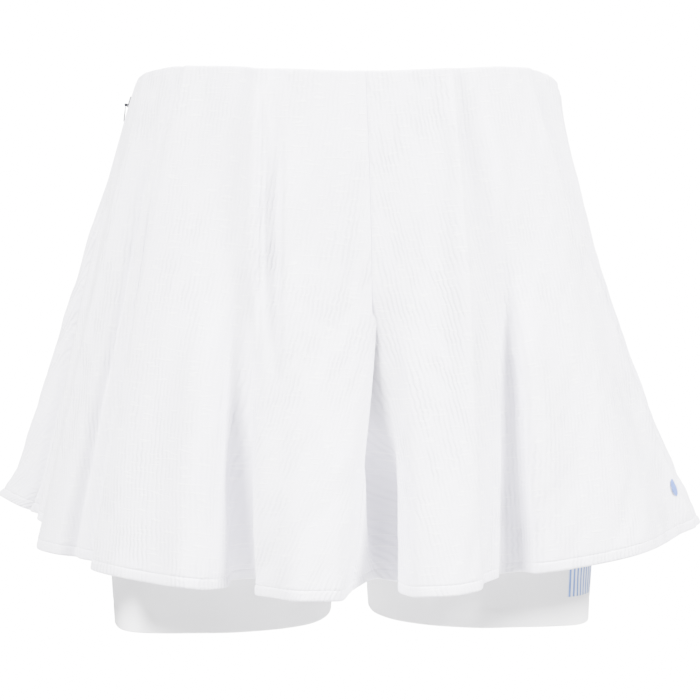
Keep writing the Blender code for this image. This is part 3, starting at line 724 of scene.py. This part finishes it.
def shorts_knit(name, with_block):
    """Smooth jersey: fine upright wales with painted shade in the troughs between them, a soft cloudiness,
    and on one leg the knitted block.
    """
    knit = Finish(name, roughness=0.74, sheen_weight=0.18, sheen_roughness=0.45)
    across, up = knit.place_on_cloth()
    wales = knit.wave(across / WALE_PITCH + knit.noise(across * 0.08, up * 0.05, detail=1.0) * 0.8)
    loops = knit.wave(up / 0.62 + wales * 0.5)
    cloud = knit.ease(knit.noise(across * 0.05, up * 0.03, detail=3.0), 0.3, 0.7)
    # darker where the wales sink, as painted shade, and in random cloudy patches
    colour = knit.mix((1.0 - wales) * 0.55 + cloud * 0.25, SHORTS_WHITE, SHORTS_CLOUD_AND_WALE_SHADE)
    relief = wales * 0.035 + loops * 0.012
    if with_block:
        inside = ((across < BLOCK_REACH) * (across > -BLOCK_REACH) * (up > BLOCK_LOW) * (up < BLOCK_HIGH))
        bar = knit.ease(knit.wave(across / BAR_PITCH + 0.25), 0.42, 0.58)
        colour = knit.mix(inside, colour, knit.mix(bar, BLOCK_GROUND, BLOCK_BAR))
        relief = relief + inside * (0.05 + bar * 0.10)
    knit.feed("Base Color", colour)
    knit.raise_by(relief)
    return knit


def shorts_cloth(side_sign, share, depth):
    """Outer face of half of the shorts: share is -1 at the front seam, 0 at the side, 1 behind."""
    levels = np.linspace(0, len(SECTIONS) - 1, 400)
    depths = smooth_column(range(len(SECTIONS)), [section.down for section in SECTIONS], levels) * MM
    level = np.interp(depth, depths, levels)
    down, outer, inner, front, back, low_out, low_in = (
        smooth_column(range(len(SECTIONS)), [getattr(s, field) for s in SECTIONS], level)[None, :] * MM
        for field in Section._fields[1:])
    if side_sign > 0:
        outer = outer + LEFT_LEG_WIDER * (down / (SECTIONS[-1].down * MM)) ** 2
    centre, half_width = (outer + inner) / 2, (outer - inner) / 2
    meet = np.arccos(np.clip(centre / half_width, -1, 1))
    share = share[:, None]
    turn = np.where(share > 0, 1, -1) * (meet + (math.pi - meet) * (1 - np.abs(share)))
    x = np.maximum(centre - half_width * np.cos(turn), SEAM_GAP / 2)
    y = np.where(share < 0, front, back) * np.sin(turn)
    low = np.where(np.cos(turn) < 0, low_out, low_in) * np.cos(turn) ** 2
    bearing = np.degrees(np.arctan2(x[:, :1] / outer[:, :1], -y[:, :1] / front[:, :1])) * side_sign
    edge = smooth_column([fold.waist_deg for fold in FOLDS], [fold.edge for fold in FOLDS], bearing, (360, 0))
    z = -down - low - edge * MM * np.clip(1 - down / SHORTS_EDGE_FADE, 0, 1)
    return np.stack((x, y, z), -1)


def make_shorts_panel(name, side, face, knit):
    """A front or back panel with its top edge, its seams and its turned leg hem."""
    side_sign = -1 if side == "right" else 1
    leg = SECTIONS[-1].down * MM
    top_edge = [roll(SHORTS_TOP_ROLL, degrees) for degrees in (120, 90, 45, 0)]
    leg_edge = [roll(LEG_ROLL, degrees) for degrees in range(0, 181, 30)]
    path = [(SHORTS_TOP + place, inset) for place, inset in top_edge]
    path += [(depth, 0) for depth in np.linspace(SHORTS_TOP + 0.003, leg - 0.016, SHORTS_ROWS)]
    path += [(leg - above * MM, 0) for above in (14, 12, 10, 8, 6, 4.5, 3.2, 2.2, 1.4)]
    path += [(leg - place, inset) for place, inset in leg_edge]
    path += [(leg - above, 2 * LEG_ROLL) for above in (0.003, 0.006, 0.010, LEG_TURN)]
    depth = np.array([place for place, _ in path])
    inset = np.array([inset for _, inset in path])
    order = np.unique(depth)
    row_of = np.searchsorted(order, depth)
    bound = (-1, 0) if face == "front" else (0, 1)
    share = np.linspace(*bound, SHORTS_COLUMNS + 1)
    beside = np.array(SHORTS_SEAM_COLUMNS)
    share = np.sort(np.concatenate((share, bound[0] + beside, bound[1] - beside)))
    share[share == 0] = -1e-9 if face == "front" else 1e-9  # the side edge lies on this panel's face
    surface = shorts_cloth(side_sign, share, order)
    normals = unit(np.cross(np.gradient(surface, axis=1), np.gradient(surface, axis=0)))
    across = length_along(surface)
    width = across[-1:]
    down_grid = np.broadcast_to(order, across.shape)
    calm = ease(np.minimum(across, width - across), 0, SHORTS_CALM)
    seed = 200 + 10 * side_sign + (5 if face == "front" else 0)
    relief = uneven(across, down_grid, seed, *SHORTS_SWELL) * calm
    for from_seam in (across, width - across):
        relief += bead(from_seam, *SHORTS_SEAM_GROOVE) + bead(from_seam, *SHORTS_SEAM_RIDGE)
    relief += bead(leg - down_grid, *LEG_TURN_GROOVE)
    for end, inside in ((0, 1), (-1, -2)):
        surface[end] += unit(surface[inside] - surface[end]) * SHORTS_CLOTH * SHORTS_SEAM_SET
    back = SHORTS_WALL / 2 + inset - relief[:, row_of]
    points = surface[:, row_of] - normals[:, row_of] * back[..., None]
    points[..., 0] = np.maximum(points[..., 0], SHORTS_CLOTH * SHORTS_SEAM_SET)
    up = np.where(inset >= LEG_ROLL, depth - leg, leg - depth)
    from_side = (across - width if face == "front" else across)[:, row_of]
    flat = np.stack((from_side, np.broadcast_to(up, from_side.shape)), -1)
    if side == "right":
        points, flat = points[::-1] * (-1, 1, 1), flat[::-1] * (-1, 1)
    piece = lay_cloth(name, points, flat, SHORTS_CLOTH, knit)
    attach(piece, "garment")
    return piece


SHORTS_PANELS = (
    ("front", (0.246, 0.372), 0.0770),
    ("back", (0.262, 0.378), 0.0850),
)
plain_knits = {"right": shorts_knit("plain_jersey", False),
               "left": shorts_knit("plain_jersey_with_block", True)}
for side, knit in plain_knits.items():
    for face, flat_size, flat_area in SHORTS_PANELS:
        node = f"shorts_{face}_{side}"
        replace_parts(make_shorts_panel(f"{node}_cloth", side, face, knit), node)

# ------------------------------
# Side zip: a small dark metal slider at the top of the right side seam, with a tab that swings on its
# pin. The coil is sewn behind the seam's two edges, which close over it, and ends 170 mm down.

SLIDER_DOWN = 0.014
SLIDER_WIDTH = 0.0044
SLIDER_LENGTH = 0.0075
SLIDER_THICK = 0.0013
SLIDER_LIFT = 0.0004
EAR_THICK = 0.0008
EAR_LENGTH = 0.0020
EAR_GAP = 0.0023
PIN_DOWN = 0.0024
PIN_LIFT = 0.0012
PIN_RADIUS = 0.0004
TAB_LENGTH = 0.0112
TAB_WIDTH = 0.0038
TAB_THICK = 0.0008
NECK_LENGTH = 0.0045
NECK_WIDTH = 0.0017
NECK_THICK = 0.0006
TAB_END_FLAT = 0.0002
TAB_EYE_RADIUS = 0.0010
TAB_HOLE_RADIUS = 0.0006
EYE_START = 0.00005  # the eye's section is spun round from this far below its middle
TAB_LEAN_DEG = 11
METAL_EDGE = 0.00018
METAL_SHARP_DEG = 40
SLIDER_ROUNDING = 0.00042
SLIDER_TAPER = 0.28
TAB_RIM = 0.00062  # the plate's middle is sunk inside this rim
TAB_RIM_SLOPE = 0.00012
TAB_SUNK = 0.00014
SLIDER_SEAM_ROWS = 16  # rows of the seam that the solid slider was set on
COIL_SEAM_ROWS = 400
COIL_PITCH = 0.0013
COIL_WIDTH = 0.0030
COIL_WIRE = 0.0008
COIL_INSIDE = 0.0036
METAL_DARK = (0.030, 0.030, 0.034)
METAL_WORN = (0.16, 0.16, 0.17)

metal = Finish("zip_metal", metallic=1.0)
smudge = metal.speckle(700.0, detail=3.0)
edge_wear = metal.ease(metal.node("ShaderNodeNewGeometry", {}, {}, "Pointiness") + smudge * 0.06, 0.54, 0.62)
metal.feed("Base Color", metal.mix(edge_wear, METAL_DARK, METAL_WORN))
metal.feed("Roughness", 0.30 + smudge * 0.22)
metal.raise_by(smudge * 0.012)
coil_plastic = Finish("zip_coil", roughness=0.45)
haze = coil_plastic.speckle(900.0)
coil_plastic.feed("Base Color", coil_plastic.mix(haze, (0.84, 0.84, 0.86), (0.92, 0.92, 0.93)))


def zip_seam(rows):
    """The right side seam: the length along it, its line, and the way that its cloth faces."""
    turn = FOLD_NAMES.index("right side seam") + np.array([-0.02, 0, 0.02])
    face = skirt_cloth(turn, np.linspace(0, 1, rows)[None, :])
    outward = unit(np.cross(np.gradient(face, axis=1), np.gradient(face, axis=0)))
    return length_along(face[1]), face[1], outward[1]


along, seam, _ = zip_seam(SLIDER_SEAM_ROWS)
place, below = (read_along(at, along, seam) for at in (SLIDER_DOWN, SLIDER_DOWN + TAB_LENGTH))
down_cloth = ((below - place) * Vector((1, 0, 1))).normalized()
across_seam = Vector((0, -1, 0))
out = across_seam.cross(-down_cloth)
slider_frame = Matrix.Translation(place) @ Matrix((across_seam, -down_cloth, out)).transposed().to_4x4()
slider_top = SLIDER_LIFT + SLIDER_THICK


def round_edges(bm, edges, radius, segments):
    bmesh.ops.bevel(bm, geom=edges, offset=radius, segments=segments, profile=0.5, affect="EDGES",
                    material=-1)


def add_box(bm, size, centre):
    made = bmesh.ops.create_cube(bm, size=1)["verts"]
    bmesh.ops.scale(bm, vec=size, verts=made)
    bmesh.ops.translate(bm, vec=centre, verts=made)
    return made


def edges_between(bm, made):
    return [edge for edge in bm.edges if edge.verts[0] in made and edge.verts[1] in made]


def add_block(bm, size, centre, rounding):
    """A box with rounded edges."""
    round_edges(bm, edges_between(bm, add_box(bm, size, centre)), rounding, 3)


def add_rod(bm, radius, length, centre, rounding):
    """A rod along X with rounded rims."""
    made = bmesh.ops.create_cone(bm, cap_ends=True, segments=32, radius1=radius, radius2=radius,
                                 depth=length)["verts"]
    bmesh.ops.rotate(bm, verts=made, matrix=Matrix.Rotation(math.pi / 2, 3, "Y"))
    bmesh.ops.translate(bm, vec=centre, verts=made)
    rims = [edge for edge in edges_between(bm, made)
            if abs(edge.verts[0].co.x - edge.verts[1].co.x) < length / 2]
    round_edges(bm, rims, rounding, 2)


def set_metal(bm, name, where):
    bmesh.ops.transform(bm, matrix=where, verts=bm.verts[:])
    piece = finish_mesh(bm, name, metal)
    piece.data.set_sharp_from_angle(angle=math.radians(METAL_SHARP_DEG))
    return piece


# The slider's two ears hold the pin, and its lower end is drawn in a little.
bm = bmesh.new()
add_block(bm, (SLIDER_WIDTH, SLIDER_LENGTH, SLIDER_THICK), (0, 0, SLIDER_LIFT + SLIDER_THICK / 2),
          SLIDER_ROUNDING)
for vertex in bm.verts:
    if vertex.co.y < 0:
        vertex.co.x *= 1 + SLIDER_TAPER * vertex.co.y / (SLIDER_LENGTH / 2)
for side in (-1, 1):
    ear_across = side * (EAR_GAP + EAR_THICK) / 2
    add_rod(bm, EAR_LENGTH / 2, EAR_THICK, (ear_across, -PIN_DOWN, slider_top + PIN_LIFT), METAL_EDGE)
    add_block(bm, (EAR_THICK, EAR_LENGTH, PIN_LIFT + SLIDER_THICK / 2),
              (ear_across, -PIN_DOWN, slider_top + PIN_LIFT / 2 - SLIDER_THICK / 4), METAL_EDGE)
add_rod(bm, PIN_RADIUS, EAR_GAP + EAR_THICK, (0, -PIN_DOWN, slider_top + PIN_LIFT), METAL_EDGE / 2)
slider = set_metal(bm, "zip_slider_metal", slider_frame)
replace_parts(slider, "zip_slider")
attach(slider, "garment")

# The tab: an eye round the pin, a neck, and a plate with a round end and a sunk middle.
hinge = (slider_frame @ Matrix.Translation((0, -PIN_DOWN, slider_top + PIN_LIFT))
         @ Matrix.Rotation(math.radians(TAB_LEAN_DEG), 4, "X"))
bm = bmesh.new()
plate_top = NECK_LENGTH - NECK_WIDTH / 2
add_box(bm, (TAB_WIDTH, TAB_LENGTH - plate_top, TAB_THICK), (0, -(TAB_LENGTH + plate_top) / 2, 0))
corners = [edge for edge in bm.edges if all(v.co.y < -plate_top - TAB_WIDTH for v in edge.verts)
           and edge.verts[0].co.x == edge.verts[1].co.x]
round_edges(bm, corners, (TAB_WIDTH - TAB_END_FLAT) / 2, 14)
faces = [face for face in bm.faces if abs(face.normal.z) > 0.9]
bmesh.ops.inset_individual(bm, faces=faces, thickness=TAB_RIM, depth=0)
bmesh.ops.inset_individual(bm, faces=faces, thickness=TAB_RIM_SLOPE, depth=-TAB_SUNK)
rim = [edge for edge in bm.edges if edge.is_manifold and edge.calc_face_angle(0) > math.radians(50)]
round_edges(bm, rim, METAL_EDGE / 2, 2)
neck_length = NECK_LENGTH - TAB_HOLE_RADIUS
add_block(bm, (NECK_WIDTH, neck_length, NECK_THICK), (0, -(NECK_LENGTH + TAB_HOLE_RADIUS) / 2, 0), METAL_EDGE)
ring = [bm.verts.new((side * NECK_WIDTH / 2, -EYE_START, radius)) for side, radius in (
    (-1, TAB_HOLE_RADIUS), (1, TAB_HOLE_RADIUS), (1, TAB_EYE_RADIUS), (-1, TAB_EYE_RADIUS))]
profile = [bm.edges.new((ring[number - 1], ring[number])) for number in range(4)]
bmesh.ops.spin(bm, geom=ring + profile, cent=(0, 0, 0), axis=(1, 0, 0), angle=2 * math.pi, steps=32,
               use_merge=True)
bmesh.ops.recalc_face_normals(bm, faces=bm.faces[:])
tab = set_metal(bm, "zip_pull_tab", hinge)
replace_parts(tab, "zip_pull")
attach(tab, "pull_tab")

# The closed coil behind the seam, one turn across it for each pair of teeth.
bm = bmesh.new()
along, seam, seam_out = zip_seam(COIL_SEAM_ROWS)
for at in np.arange(SLIDER_DOWN + SLIDER_LENGTH / 2, ZIP_END, COIL_PITCH):
    place, out = read_along(at, along, seam), read_along(at, along, seam_out)
    add_thread(bm, place - out * COIL_INSIDE, across_seam, out, COIL_WIDTH, COIL_WIRE, COIL_WIRE)
coil = finish_mesh(bm, "zip_coil", coil_plastic)
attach(coil, "garment")

# ------------------------------
# Photograph: a pale floor well below the hem, a white surround, and large soft lights before and behind.

FLOOR_DROP = 1.3
FLOOR_REACH = 2.7
SURROUND_SEEN = 17.0
SURROUND_LIGHT = 0.3
CAMERA_DISTANCE = 1.5
CAMERA_AZIMUTH = math.radians(-5)
CAMERA_ELEVATION = math.radians(5)
CAMERA_TARGET = Vector((0, 0, -0.186))
FIELD_WIDTH = 0.469  # metres across the picture at the target
SENSOR = 36

floor_paint = Finish("pale_floor", roughness=0.9)
mottle = floor_paint.speckle(0.8)
floor_paint.feed("Base Color", floor_paint.mix(mottle, (0.93, 0.93, 0.93), (0.95, 0.95, 0.95)))
bm = bmesh.new()
bmesh.ops.create_circle(bm, cap_ends=True, segments=96, radius=FLOOR_REACH)
bmesh.ops.translate(bm, vec=(0, 0, -FLOOR_DROP), verts=bm.verts[:])
floor = finish_mesh(bm, "floor", floor_paint)

world = bpy.data.worlds.new("white_surround")
world.use_nodes = True
tree = world.node_tree
seen = tree.nodes["Background"]
seen.inputs["Strength"].default_value = SURROUND_SEEN
giving = tree.nodes.new("ShaderNodeBackground")
giving.inputs["Strength"].default_value = SURROUND_LIGHT
for background in (seen, giving):
    background.inputs["Color"].default_value = (1, 1, 1, 1)
ray = tree.nodes.new("ShaderNodeLightPath")
either = tree.nodes.new("ShaderNodeMixShader")
tree.links.new(ray.outputs["Is Camera Ray"], either.inputs["Fac"])
tree.links.new(giving.outputs["Background"], either.inputs[1])
tree.links.new(seen.outputs["Background"], either.inputs[2])
tree.links.new(either.outputs["Shader"], tree.nodes["World Output"].inputs["Surface"])
bpy.context.scene.world = world

for name, place, size, power in (
        ("left softbox", (-1.40, -1.22, 1.49), 0.7, 415),
        ("right softbox", (1.57, -1.19, 1.35), 0.7, 435),
        ("back softbox", (0.0, 2.8, 0.84), 2.0, 200)):
    light = bpy.data.lights.new(name, "AREA")
    light.size = size
    light.energy = power
    lamp = bpy.data.objects.new(name, light)
    lamp.location = place
    lamp.rotation_euler = (CAMERA_TARGET - Vector(place)).to_track_quat("-Z", "Y").to_euler()
    bpy.context.scene.collection.objects.link(lamp)

lens = bpy.data.cameras.new("camera")
lens.sensor_width = SENSOR
lens.lens = SENSOR * CAMERA_DISTANCE / FIELD_WIDTH
camera = bpy.data.objects.new("camera", lens)
backwards = Vector((math.sin(CAMERA_AZIMUTH) * math.cos(CAMERA_ELEVATION),
                    -math.cos(CAMERA_AZIMUTH) * math.cos(CAMERA_ELEVATION), math.sin(CAMERA_ELEVATION)))
camera.location = CAMERA_TARGET + backwards * CAMERA_DISTANCE
camera.rotation_euler = (-backwards).to_track_quat("-Z", "Y").to_euler()
bpy.context.scene.collection.objects.link(camera)
bpy.context.scene.camera = camera
